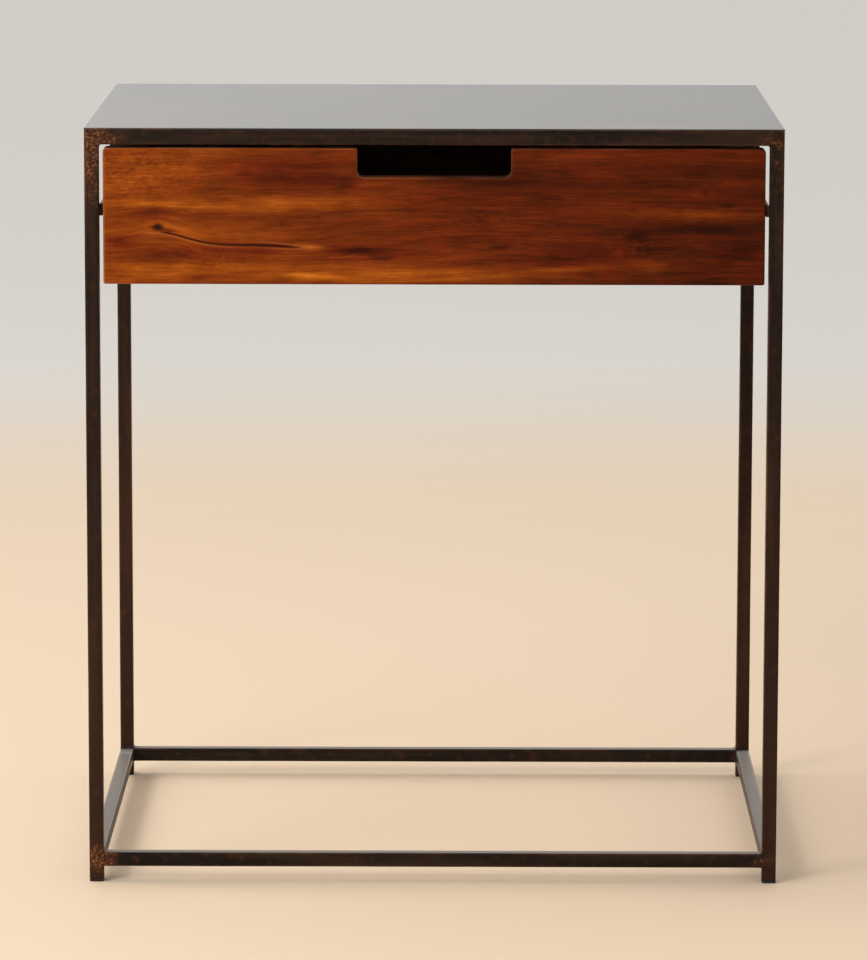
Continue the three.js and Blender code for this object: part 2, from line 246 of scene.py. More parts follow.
def rounded_box_mesh(low, high, radius, spacing):
    """Points and faces of a box whose edges and corners are all rounded."""
    sides = [rounded_side(low[i], high[i], radius, spacing) for i in range(3)]
    last = [len(side) - 1 for side in sides]
    index = {}
    points = []

    def corner(i, j, k):
        if (i, j, k) not in index:
            p = Vector((sides[0][i], sides[1][j], sides[2][k]))
            core = Vector([min(max(p[a], low[a] + radius), high[a] - radius) for a in range(3)])
            out = p - core
            index[i, j, k] = len(points)
            points.append(core + out.normalized() * radius)
        return index[i, j, k]

    faces = []
    for across in range(3):
        u, v = [a for a in range(3) if a != across]
        for end in (0, last[across]):
            for i in range(last[u]):
                for j in range(last[v]):
                    ring = []
                    for di, dj in ((0, 0), (1, 0), (1, 1), (0, 1)):
                        key = [0, 0, 0]
                        key[across] = end
                        key[u] = i + di
                        key[v] = j + dj
                        ring.append(corner(*key))
                    faces.append(ring)
    return points, faces


def joined_rings(rings):
    """Faces that join rings of equal length one to the next and close both ends."""
    count = len(rings[0])
    faces = []
    for row in range(len(rings) - 1):
        base = row * count
        for i in range(count):
            j = (i + 1) % count
            faces.append((base + i, base + j, base + count + j, base + count + i))
    faces.append(range(count))
    faces.append(range((len(rings) - 1) * count, len(rings) * count))
    return faces


def cut(piece, cutters):
    """Takes the cutters' shapes out of the piece and removes the cutters."""
    for cutter in cutters:
        hole = piece.modifiers.new("cut", "BOOLEAN")
        hole.operation = "DIFFERENCE"
        hole.solver = "EXACT"
        hole.object = cutter
    done = piece.evaluated_get(bpy.context.evaluated_depsgraph_get())
    mesh = bpy.data.meshes.new_from_object(done)
    piece.modifiers.clear()
    piece.data = mesh
    for cutter in cutters:
        bpy.data.objects.remove(cutter)
    mesh.shade_smooth()
    mesh.set_sharp_from_angle(angle=math.radians(35))
    return piece


def turned(name, axis, start, profile, material, sides=32):
    """A turned solid: profile is (distance along axis, radius) pairs, axis a unit vector."""
    axis = Vector(axis)
    across = axis.orthogonal().normalized()
    rings = []
    for along, radius in profile:
        centre = Vector(start) + axis * along
        turns = [Matrix.Rotation(2 * math.pi * i / sides, 3, axis) @ across for i in range(sides)]
        rings.append([centre + turn * radius for turn in turns])
    return new_piece(name, [p for ring in rings for p in ring], joined_rings(rings), material)


# ------------------------------------------------------------------ materials


def iron_material(name, streak_share, coat, dust, rust):
    """Blackened iron under satin lacquer. Points say where the heat of welding left it coppery or
    blue, where an arris is rubbed and carries a painted highlight, where a post carries a painted
    reflection of the warm floor low down, and which way the bar was drawn."""
    s = Shader(name)
    grain = s.attribute("grain", "Vector")
    scorch = s.attribute("scorch")
    arris = s.attribute("arris")
    normal = s.add("ShaderNodeNewGeometry", "Normal")
    faces_up = s.step(s.add("ShaderNodeSeparateXYZ", "Z", {0: normal}), 0.5, 0.95)
    clouds = s.noise(s.stretched(grain, (160, 18, 18)), detail=4)
    streaks = s.noise(s.stretched(grain, (700, 1.2, 1.2)), detail=3)
    mottle = s.noise(s.stretched(grain, (11, 2.6, 2.6)), detail=5, roughness=0.7)
    flakes = s.noise(s.stretched(s.place, (1.9, 1.9, 1.9)), detail=3, roughness=0.6)
    blots = s.noise(s.stretched(s.place, (8, 8, 8)), detail=3)

    tone = s.plus(s.times(clouds, 0.6), s.times(streaks, streak_share))
    tone = s.plus(tone, s.times(mottle, 0.4 - streak_share))
    body = s.ramp(tone, [(0.36, (17, 12, 9)), (0.5, (32, 23, 17)), (0.66, (60, 41, 28))])
    body = s.mix(s.step(blots, 0.52, 0.68, 0.0, rust), body, rgb(62, 36, 22))
    # painted reflection of the warm floor, browner low on the posts
    body = s.mix(s.attribute("floor_reflection"), body, rgb(68, 40, 26))

    warm = s.step(s.plus(scorch, s.times(s.plus(blots, -0.5), 1.2)), 0.15, 0.85)
    body = s.mix(s.times(warm, 0.85), body, rgb(78, 44, 27))
    flecks = s.times(s.step(flakes, 0.52, 0.62), warm)
    body = s.mix(s.times(flecks, 0.75), body, rgb(146, 98, 60))
    pits = s.times(s.step(flakes, 0.47, 0.38), warm)
    body = s.mix(s.times(pits, 0.75), body, rgb(36, 22, 15))
    body = s.mix(s.times(s.attribute("temper"), s.step(blots, 0.4, 0.52)), body, rgb(78, 104, 116))

    # lighter, coppery arrises: partly wear to bare metal, partly a painted highlight
    worn_and_highlit = s.times(arris, s.step(s.plus(s.times(clouds, 0.6), s.times(mottle, 0.4)), 0.46, 0.58))
    body = s.mix(s.times(worn_and_highlit, 0.55), body, rgb(104, 60, 38))

    gloss = s.plus(s.times(mottle, 0.2), s.times(warm, 0.15))
    relief = s.plus(s.times(mottle, 0.5), s.times(s.times(flakes, warm), 1.2))
    s.set(
        Base_Color=body,
        Metallic=s.times(s.plus(flecks, worn_and_highlit), 0.25),
        Roughness=s.plus(gloss, 0.28),
        Coat_Weight=coat,
        Coat_Roughness=0.22,
        Specular_IOR_Level=0.12,
        Sheen_Weight=s.times(faces_up, dust) if dust else 0.0,
        Sheen_Roughness=0.3,
        Sheen_Tint=(1.0, 0.9, 0.8, 1.0),
        Normal=s.bump(relief, 0.05),
    )
    return s.material


def front_wood_material():
    """Stained and lacquered board. Points carry its figure, such as tone, redness and knots."""
    s = Shader("front_wood")
    flow = s.attribute("flow", "Vector")
    bands = s.noise(s.stretched(flow, (150, 30, 10)), detail=3, distortion=0.2)
    streaks = s.noise(s.stretched(flow, (36, 6, 1.9)), detail=4, roughness=0.6)
    fibres = s.noise(s.stretched(flow, (12, 1.2, 0.6)), detail=3, roughness=0.6)
    pores = s.noise(s.stretched(flow, (4.5, 0.6, 0.32)), detail=2)
    cloud = s.noise(s.stretched(s.place, (24, 30, 11)), detail=4, roughness=0.6)
    curl = s.noise(s.stretched(s.place, (4.6, 9, 1.9)), detail=2, distortion=0.35)

    depth = s.attribute("tone")
    for layer, strength in ((bands, 0.42), (streaks, 0.34), (fibres, 0.24), (cloud, 0.42)):
        depth = s.plus(depth, s.times(s.plus(layer, -0.5), strength))
    depth = s.plus(depth, s.times(s.times(s.plus(curl, -0.5), s.attribute("curl")), 0.42))
    golden = s.ramp(depth, [
        (0.0, (28, 10, 3)), (0.2, (66, 25, 5)), (0.35, (96, 38, 8)),
        (0.5, (126, 55, 11)), (0.65, (156, 76, 16)), (0.82, (194, 106, 26)), (1.0, (226, 150, 52)),
    ])
    ruddy = s.ramp(depth, [
        (0.0, (24, 7, 3)), (0.2, (60, 18, 5)), (0.35, (90, 30, 8)),
        (0.5, (118, 43, 12)), (0.65, (146, 62, 19)), (0.82, (178, 88, 34)), (1.0, (208, 128, 62)),
    ])
    red = s.plus(s.attribute("red"), s.times(s.plus(cloud, -0.5), 1.4))
    colour = s.mix(s.step(red, 0.15, 0.85), golden, ruddy)
    colour = s.mix(s.step(pores, 0.36, 0.27, 0.0, 0.35), colour, rgb(34, 12, 5))
    # painted highlight along the crack's lips
    colour = s.mix(s.attribute("lip_highlight"), colour, rgb(172, 96, 50))
    colour = s.mix(s.attribute("crack"), colour, rgb(52, 14, 5))
    colour = s.mix(s.attribute("knot"), colour, rgb(22, 12, 12))
    # painted highlight on the front's rounded edges, with some wear
    colour = s.mix(s.attribute("edge"), colour, rgb(176, 112, 70))
    rings = s.noise(s.stretched(s.place, (60, 9, 1.6)), detail=3)
    end_grain = s.ramp(rings, [(0.35, (52, 22, 9)), (0.65, (104, 50, 20))])
    colour = s.mix(s.attribute("end"), colour, end_grain)

    height = s.plus(s.times(fibres, 0.4), s.times(s.step(pores, 0.36, 0.27), -0.5))
    s.set(
        Base_Color=colour,
        Roughness=s.plus(s.times(streaks, 0.2), 0.3),
        Specular_IOR_Level=0.06,
        Normal=s.bump(height, 0.05),
    )
    return s.material


def board_material(name, sizes, stops, seed, roughness):
    """Plain wood for the drawer's box, with its grain along the longest of the three sizes."""
    s = Shader(name)
    offset = (seed * 3.7, seed * 1.9, seed * 5.3)
    bands = s.noise(s.stretched(s.place, sizes, offset), detail=4, distortion=0.4)
    fine = s.noise(s.stretched(s.place, [c / 7 for c in sizes], offset), detail=4, roughness=0.65)
    pores = s.noise(s.stretched(s.place, [c / 22 for c in sizes], offset), detail=2)
    blotch = s.noise(s.stretched(s.place, (60, 60, 60), offset), detail=2)
    tone = s.plus(s.times(bands, 0.5), s.times(fine, 0.34))
    tone = s.plus(tone, s.times(blotch, 0.16))
    colour = s.ramp(tone, stops)
    dark = s.step(pores, 0.38, 0.28, 0.0, 0.45)
    colour = s.mix(dark, colour, rgb(*[c * 0.5 for c in stops[0][1]]))
    s.set(
        Base_Color=colour,
        Roughness=s.plus(s.times(fine, 0.2), roughness),
        Normal=s.bump(s.plus(s.times(fine, 0.6), s.times(dark, -1.0)), 0.08),
    )
    return s.material


def plain_material(name, dark, light, roughness, metallic=0.0, grit=1.5, bump=0.03):
    """A dull moulded, cut or plated surface, a little uneven in colour, gloss and height."""
    s = Shader(name)
    fine = s.noise(s.stretched(s.place, (grit, grit, grit)), detail=4, roughness=0.7)
    broad = s.noise(s.stretched(s.place, (14, 14, 14)), detail=3)
    tone = s.plus(s.times(fine, 0.5), s.times(broad, 0.5))
    s.set(
        Base_Color=s.ramp(tone, [(0.35, dark), (0.65, light)]),
        Roughness=s.plus(s.times(fine, 0.2), roughness - 0.1),
        Metallic=metallic,
        Normal=s.bump(fine, bump),
    )
    return s.material


IRON = iron_material("blackened_iron", streak_share=0.26, coat=0.0, dust=1.0, rust=0.55)
SHEET_IRON = iron_material("blackened_sheet", streak_share=0.05, coat=0.95, dust=0.0, rust=0.2)
FRONT_WOOD = front_wood_material()
SIDE_STOPS = [(0.3, (96, 54, 26)), (0.5, (134, 80, 40)), (0.7, (166, 108, 60))]
SIDE_WOOD = board_material("side_wood", (7, 180, 7), SIDE_STOPS, 1, 0.45)
BACK_WOOD = board_material("back_wood", (180, 7, 7), SIDE_STOPS, 2, 0.45)
PLY_STOPS = [(0.3, (140, 96, 58)), (0.5, (172, 126, 82)), (0.7, (196, 152, 106))]
PLYWOOD = board_material("bottom_plywood", (260, 9, 5), PLY_STOPS, 3, 0.5)
DOWEL_STOPS = [(0.3, (168, 128, 84)), (0.5, (196, 156, 108)), (0.7, (214, 180, 136))]
DOWEL_WOOD = board_material("dowel_beech", (4, 40, 4), DOWEL_STOPS, 4, 0.55)
NYLON = plain_material("runner_nylon", (16, 15, 15), (30, 29, 28), 0.5)
SCREW_STEEL = plain_material("screw_steel", (58, 55, 52), (92, 88, 84), 0.4, metallic=1.0, grit=0.6)
RUBBER = plain_material("pad_rubber", (18, 14, 12), (32, 25, 20), 0.8, bump=0.06)

# ------------------------------------------------------------------ the welded frame

ARC_STEPS = 4  # faces round each of a bar's corners
FLAT_STEPS = 6  # faces across each of a bar's flats
RING_SPACING = 4
TONGUE = 1.15  # how far a rail's end reaches into the post's rounded edge
WELD = 1.9  # mean radius of the weld that fills the corner between two bars
END_EASING = 0.3  # rounding of a post's or strip's ends
FLOOR_REFLECTION = 0.45  # how strong the painted reflection of the warm floor is on a post, at the floor
FLOOR_REFLECTION_TOP = 480  # height where the painted reflection of the floor starts
FLOOR_REFLECTION_FADE = 400  # how far down from there it takes to be full
BEAD_SIDES = 16  # faces round a bead of weld
PAD_TAPER = 0.025  # share of its width that a pad loses from the floor to the post
COPPERY = [  # place, reach and strength of the marks that the heat of welding left
    ((-260, -200, 570), 15, 1.0),
    ((-260, -200, 552), 17, 0.85),
    ((-259, -200, 534), 16, 0.45),
    ((-247, -200, 573), 9, 0.75),
    ((-256, -200, 18), 10, 1.1),
    ((-248, -200, 16), 6, 0.8),
    ((251, -200, 17), 7, 0.6),
    ((257, -200, 570), 14, 0.42),
    ((259, -200, 548), 16, 0.3),
    ((-258, 194, 572), 16, 0.6),
    ((258, 194, 572), 16, 0.6),
    ((-258, 200, 17), 9, 0.7),
    ((258, 200, 17), 9, 0.6),
]
BLUED = [((-258, 174, 23), 8, 1.2), ((257, 174, 23), 8, 0.9), ((-258, 186, 572), 9, 0.6)]


def bar_section(halves, corner):
    """Points round a bar's section, each with how near it is to an arris: 0 on a flat, 1 on it."""
    section = []
    centres = [Vector((x * (halves[0] - corner), y * (halves[1] - corner)))
               for x, y in ((1, 1), (-1, 1), (-1, -1), (1, -1))]
    for quarter in range(4):
        turn = math.pi / 2 * quarter
        along = Vector((math.cos(turn), math.sin(turn)))
        across = Vector((-along.y, along.x))
        for step in range(ARC_STEPS + 1):
            angle = math.pi / 2 * step / ARC_STEPS
            out = along * math.cos(angle) + across * math.sin(angle)
            section.append((centres[quarter] + out * corner, math.sin(2 * angle)))
        start = section[-1][0]
        end = centres[(quarter + 1) % 4] + across * corner
        for step in range(1, FLAT_STEPS):
            section.append((start.lerp(end, step / FLAT_STEPS), 0.0))
    return section


def weld_growth(distance, radius):
    """How far a weld of that radius stands off the rail, at a distance from the post."""
    if distance >= radius:
        return 0.0
    return radius - math.sqrt(max(0.0, radius**2 - (radius - max(distance, 0.0)) ** 2))


def mark_at(point, marks):
    """How strong the strongest of those marks is at a point."""
    return max(strength * math.exp(-((Vector(place) - point).length / reach) ** 2)
               for place, reach, strength in marks)


def iron_values(points, arris, grain, reflects_floor=False):
    """What the iron's material reads at each point. A bar that reflects the floor gets a painted
    reflection of the warm floor, stronger low down.
    """
    floor_reflection = [FLOOR_REFLECTION * min(1.0, max(0.0, (FLOOR_REFLECTION_TOP - point[2]) / FLOOR_REFLECTION_FADE)) for point in points]
    return {
        "arris": arris,
        "floor_reflection": floor_reflection if reflects_floor else [0.0] * len(points),
        "scorch": [mark_at(point, COPPERY) for point in points],
        "temper": [mark_at(point, BLUED) for point in points],
        "grain": [[c * MM for c in place] for place in grain],
    }


def unevenness(point, offset):
    """Hand-worked iron is never quite flat. Always inward, so a bar stays inside its size."""
    broad = noise.noise((point + offset) / 45)
    fine = noise.noise((point + offset) / 7)
    return -0.05 * (1 + broad) - 0.025 * (1 + fine)


def seam_fill(along):
    """How far weld fills the seam under the sheet, from 0, open, to 1, along a top rail."""
    return min(1.0, max(0.0, 1.15 - 1.5 * abs(math.sin(math.pi * along / 330)) ** 1.5))


def iron_bar(node, flares=(), weld=0.0, seam=None, corner=BAR_CORNER):
    """One bar of the frame. flares are the (section axis, sign) directions in which its ends grow
    into welds of that radius, and seam the section signs of the corner along the sheet's edge."""
    low, high = cad_box(node)
    size = high - low
    axis = max(range(3), key=lambda a: size[a])
    first, second = [a for a in range(3) if a != axis]
    middle = (low + high) / 2
    halves = (size[first] / 2, size[second] / 2)
    draw = random.Random(node)
    offset = Vector([draw.uniform(-500, 500) for _ in range(3)])
    dents = [(draw.uniform(low[axis], high[axis]), draw.randrange(4), draw.uniform(3, 7),
              draw.uniform(0.1, 0.3)) for _ in range(int(size[axis] / 80))]
    end_welds = [weld * draw.uniform(0.6, 1.35) for _ in range(2)]

    near_end = [0, 0.15, 0.3, 0.5, 0.8, 1.2, 1.7, 2.4]
    stations = [low[axis] + d for d in near_end]
    stations += spread(low[axis] + RING_SPACING, high[axis] - RING_SPACING, RING_SPACING)
    stations += [high[axis] - d for d in reversed(near_end)]
    if weld:
        stations = [low[axis] - TONGUE] + stations + [high[axis] + TONGUE]

    section = bar_section(halves, corner)
    rings = []
    grain = []
    for station in stations:
        to_low, to_high = station - low[axis], high[axis] - station
        from_end = min(to_low, to_high)
        end_weld = end_welds[0] if to_low < to_high else end_welds[1]
        ring = []
        for number, (spot, arris) in enumerate(section):
            a, b = spot
            if seam and arris > 0 and a * seam[0] > 0 and b * seam[1] > 0:
                fill = 0.85 * seam_fill(station)
                a += (seam[0] * halves[0] - a) * fill
                b += (seam[1] * halves[1] - b) * fill
            point = Vector((0, 0, 0))
            point[axis] = station
            point[first] = middle[first] + a
            point[second] = middle[second] + b
            shrink = unevenness(point, offset)
            for place, quarter, length, depth in dents:
                if arris > 0 and number // (ARC_STEPS + FLAT_STEPS) == quarter:
                    shrink -= depth * arris * math.exp(-((station - place) / length) ** 2)
            if weld:
                shrink *= min(1.0, max(0.0, from_end / 6))
            else:
                rounding = max(0.0, END_EASING - from_end)
                shrink -= END_EASING - math.sqrt(END_EASING**2 - rounding**2)
            grown = [a * (1 + shrink / halves[0]), b * (1 + shrink / halves[1])]
            fine, broad = (noise.noise((point + offset) / cell) for cell in (1.7, 5))
            growth = weld_growth(from_end, end_weld * (1 + (fine * 0.3 + broad * 0.35)))
            for k, sign in flares:
                reach = min(1.0, max(0.0, sign * grown[k] / (halves[k] - corner)))
                grown[k] += sign * growth * reach
            point[first] = middle[first] + grown[0]
            point[second] = middle[second] + grown[1]
            ring.append(point)
            grain.append(Vector((station, a, b)) + offset)
        rings.append(ring)
    points = [p for ring in rings for p in ring]
    arrises = [arris for _, arris in section] * len(rings)
    values = iron_values(points, arrises, grain, reflects_floor=axis == 2)
    piece = new_piece(f"{node}_bar", points, joined_rings(rings), IRON, attributes=values)
    return stand_in(piece, node)


def weld_beads(name, lines):
    """Lumpy beads of weld, one along each (start, end, radius) line, together in one piece."""
    points, faces = [], []
    for start, end, radius in lines:
        start, end = Vector(start), Vector(end)
        length = (end - start).length
        axis = (end - start) / length
        across = axis.orthogonal().normalized()
        rings = []
        for along in spread(0, length, 0.5):
            from_middle = abs(2 * along / length - 1)
            taper = math.sqrt(max(0.04, 1 - from_middle**6))
            scallop = 1 - 0.16 * abs(math.sin(math.pi * along / 1.6))
            centre = start + axis * along
            ring = []
            for i in range(BEAD_SIDES):
                out = Matrix.Rotation(2 * math.pi * i / BEAD_SIDES, 3, axis) @ across
                lump = 1 + 0.2 * noise.noise((centre + out * radius) / 1.3)
                ring.append(centre + out * radius * taper * scallop * lump)
            rings.append(ring)
        first = len(points)
        points += [p for ring in rings for p in ring]
        faces += [[first + i for i in face] for face in joined_rings(rings)]
    values = iron_values(points, [0.0] * len(points), points)
    values["scorch"] = [max(0.35, mark) for mark in values["scorch"]]
    piece = new_piece(name, points, faces, IRON, attributes=values)
    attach(piece, "frame")


def welded_frame():
    """Posts, low rails, top rails, and the two flat strips that carry the runners."""
    down, up = (1, -1), (1, 1)
    for end, inward in (("front", 1), ("back", -1)):
        for side in ("left", "right"):
            iron_bar(f"post_{end}_{side}")
        iron_bar(f"low_rail_{end}", [up, (0, inward)], weld=WELD)
        iron_bar(f"top_rail_{end}", [down, (0, inward)], weld=WELD, seam=(-inward, 1))
    for side, outward in (("left", -1), ("right", 1)):
        iron_bar(f"low_rail_{side}", [up], weld=WELD)
        iron_bar(f"top_rail_{side}", [down], weld=WELD, seam=(outward, 1))
        strip = f"runner_strip_{side}"
        iron_bar(strip, corner=0.4)
        low, high = cad_box(strip)
        face = high.x if outward > 0 else low.x
        weld_beads(f"{strip}_welds", [
            ((face - outward * 0.4, y, low.z + 0.6), (face - outward * 0.4, y, high.z - 0.6), 0.9)
            for y in (low.y - 0.2, high.y + 0.2)
        ])


def top_sheet():
    """The sheet on top: eased edges and the slight waves that welding leaves in thin metal."""
    low, high = cad_box("top_panel")
    easing = 0.55
    points, faces = rounded_box_mesh(low, high, easing, 9)
    arris = []
    for point in points:
        near_edge = min(point.x - low.x, high.x - point.x, point.y - low.y, high.y - point.y)
        calm = min(1.0, near_edge / 40)
        if point.z > (low.z + high.z) / 2 + 0.1:
            wave = noise.noise(Vector((point.x, point.y, 7)) / 120)
            point.z -= 0.16 * calm * (1 + wave)
        # the sheet's rim carries the same wear and painted highlight along its arris
        rubbed_and_highlit = 0.5 + noise.noise(Vector((point.x, point.y, 3)) / 60)
        arris.append(rubbed_and_highlit if near_edge < easing * 0.8 else 0.0)
    values = iron_values(points, arris, [Vector((p.x, p.y / 8, p.z / 8)) for p in points])
    piece = new_piece("top_sheet", points, faces, SHEET_IRON, attributes=values)
    stand_in(piece, "top_panel")


def foot_pads():
    """Moulded pads, a little wider at the floor than under the posts."""
    for end in ("front", "back"):
        for side in ("left", "right"):
            node = f"foot_pad_{end}_{side}"
            low, high = cad_box(node)
            points, faces = rounded_box_mesh(low, high, 1.1, 1.1)
            middle = (low + high) / 2
            for point in points:
                width = 1 - PAD_TAPER * (point.z - low.z) / (high.z - low.z)
                point.x = middle.x + (point.x - middle.x) * width
                point.y = middle.y + (point.y - middle.y) * width
            stand_in(new_piece(f"{node}_moulded", points, faces, RUBBER), node)


# ------------------------------------------------------------------ the drawer's front

# The figure of the board is laid out in shares of its width, from the left, and of its height, from
# the bottom. Sizes are in millimetres.
CRACK = [(0.050, 0.378), (0.085, 0.386), (0.100, 0.378), (0.120, 0.351), (0.141, 0.318),
         (0.166, 0.2975), (0.198, 0.290), (0.241, 0.290), (0.268, 0.282), (0.302, 0.268)]
CRACK_WIDTH = [(0.083, 0.0), (0.096, 1.2), (0.120, 1.5), (0.166, 1.4), (0.200, 1.7), (0.241, 2.5),
               (0.268, 2.0), (0.286, 1.2), (0.302, 0.0)]
# strength across the board of the painted highlight on the crack's lower and upper lips
LIP_HIGHLIGHT = [(0.055, 0.0), (0.075, 0.5), (0.160, 0.5), (0.180, 0.15), (0.240, 0.15), (0.262, 0.35),
       (0.300, 0.4), (0.315, 0.0)]
UPPER_LIP_HIGHLIGHT = [(0.215, 0.0), (0.235, 0.25), (0.300, 0.4), (0.325, 0.55), (0.337, 0.0)]
KNOTS = [  # across, up, half length, half height, darkness
    (0.0830, 0.4200, 4.8, 3.3, 0.9),
    (0.4210, 0.196, 13.0, 2.4, 0.55),
    (0.601, 0.277, 9.0, 1.5, 0.55),
    (0.910, 0.680, 3.4, 2.6, 0.45),
    (0.2146, 0.811, 6.5, 1.7, 0.4),
]
FIGURE = [  # across, up, half length, half height, rise per millimetre, change of tone, of redness
    (0.03, 0.86, 40, 16, 0.0, 0.02, 0.0),
    (0.07, 0.60, 36, 3.0, 0.0, 0.15, -0.3),
    (0.066, 0.52, 15, 5.0, 0.0, -0.15, 0.3),
    (0.20, 0.56, 60, 4.0, -0.01, 0.06, -0.3),
    (0.027, 0.305, 13, 4.5, 0.0, -0.14, 0.5),
    (0.14, 0.24, 45, 5.0, 0.0, -0.08, 0.4),
    (0.22, 0.252, 26, 1.6, -0.01, -0.10, 0.9),
    (0.13, 0.09, 60, 6.0, 0.0, 0.09, -0.4),
    (0.137, 0.05, 10, 2.2, 0.0, -0.18, 0.4),
    (0.26, 0.84, 42, 12, 0.0, -0.15, 0.4),
    (0.252, 0.59, 13, 6.0, 0.0, 0.13, -0.6),
    (0.32, 0.60, 30, 3.5, 0.0, 0.08, -0.4),
    (0.3675, 0.73, 8, 6.0, 0.0, -0.16, 0.0),
    (0.33, 0.78, 22, 9.0, 0.0, -0.08, 0.2),
    (0.26, 0.43, 14, 5.0, 0.0, -0.09, -0.4),
    (0.394, 0.2455, 27, 3.0, -0.03, -0.26, 0.5),
    (0.093, 0.398, 7, 2.4, -0.2, -0.22, 0.4),
    (0.365, 0.201, 38, 0.8, 0.0, 0.10, 0.4),
    (0.365, 0.186, 34, 0.8, 0.0, -0.12, 0.2),
    (0.318, 0.275, 9, 1.8, -0.05, 0.26, -0.2),
    (0.31, 0.062, 26, 2.6, 0.0, 0.34, -0.7),
    (0.46, 0.07, 90, 6.5, 0.0, 0.22, -0.4),
    (0.42, 0.52, 22, 0.7, 0.0, 0.12, 0.0),
    (0.43, 0.485, 20, 0.6, 0.0, 0.10, 0.0),
    (0.55, 0.57, 26, 0.8, 0.0, 0.11, 0.0),
    (0.56, 0.50, 14, 2.0, 0.0, -0.08, 0.0),
    (0.70, 0.455, 22, 0.9, -0.06, -0.13, 0.0),
    (0.69, 0.11, 44, 3.0, 0.1, 0.16, -0.3),
    (0.83, 0.125, 19, 5.0, 0.0, 0.15, -0.4),
    (0.88, 0.51, 50, 4.2, -0.01, 0.15, -0.6),
    (0.90, 0.415, 46, 3.4, 0.0, -0.13, 0.1),
    (0.90, 0.33, 60, 9, 0.0, -0.06, 0.0),
    (0.81, 0.36, 9, 3.8, 0.0, -0.12, 0.3),
    (0.81, 0.312, 7, 0.8, 0.0, 0.14, 0.1),
    (0.955, 0.26, 19, 8.0, 0.0, -0.12, 0.0),
    (0.74, 0.95, 60, 2.2, 0.0, 0.12, 0.0),
    (0.58, 0.76, 60, 14, 0.0, -0.13, 0.0),
    (0.943, 0.591, 6, 1.3, 0.0, -0.13, 0.0),
    (0.72, 0.22, 26, 7.0, 0.0, -0.05, 0.4),
    (0.5, 0.004, 400, 0.9, 0.0, -0.22, 0.0),
]
BOARD_TONE = [(0.0, 0.56), (0.12, 0.55), (0.3, 0.49), (0.45, 0.44), (0.6, 0.385), (0.8, 0.32),
              (1.0, 0.28)]
BOARD_RED = [(0.0, 0.3), (0.3, 0.4), (0.5, 0.5), (0.75, 0.55), (1.0, 0.6)]
CURLED = [  # across, up, half length, half height
    (0.05, 0.84, 45, 20),
    (0.80, 0.28, 20, 8),
    (0.17, 0.19, 16, 7),
    (0.57, 0.50, 20, 5),
]
FACE_DEPTH = 0.1  # how far the plain face lies behind the plane that depth() measures from
NEAR_CRACK = 3.0  # how far above and below the crack the face's fine grid reaches
CRACK_SPAN = (0.045, 0.34)  # the stretch across the board that holds the crack and its lips
ARC_PIECES = 6  # straight pieces in each of the outline's arcs
EDGE_STEPS = [160, 32, 60, 6, 38, 6, 60, 32]  # pieces of each straight, from the lower edge round
EDGE_RUB = 0.9  # how much rounder than the rest the left edge is, and how far in that reaches
EDGE_RUB_REACH = 3


def drift(x, z, long, tall, seed):
    """Cloudy noise from -1 to 1 at each point, in cells of that length and height."""
    return np.array([noise.noise(Vector((a / long, b / tall, seed))) for a, b in zip(x, z)])


def profile(points, across):
    """The value at each place across, from (across, value) points, 0 past their ends."""
    return np.interp(across, *zip(*points), left=0, right=0)


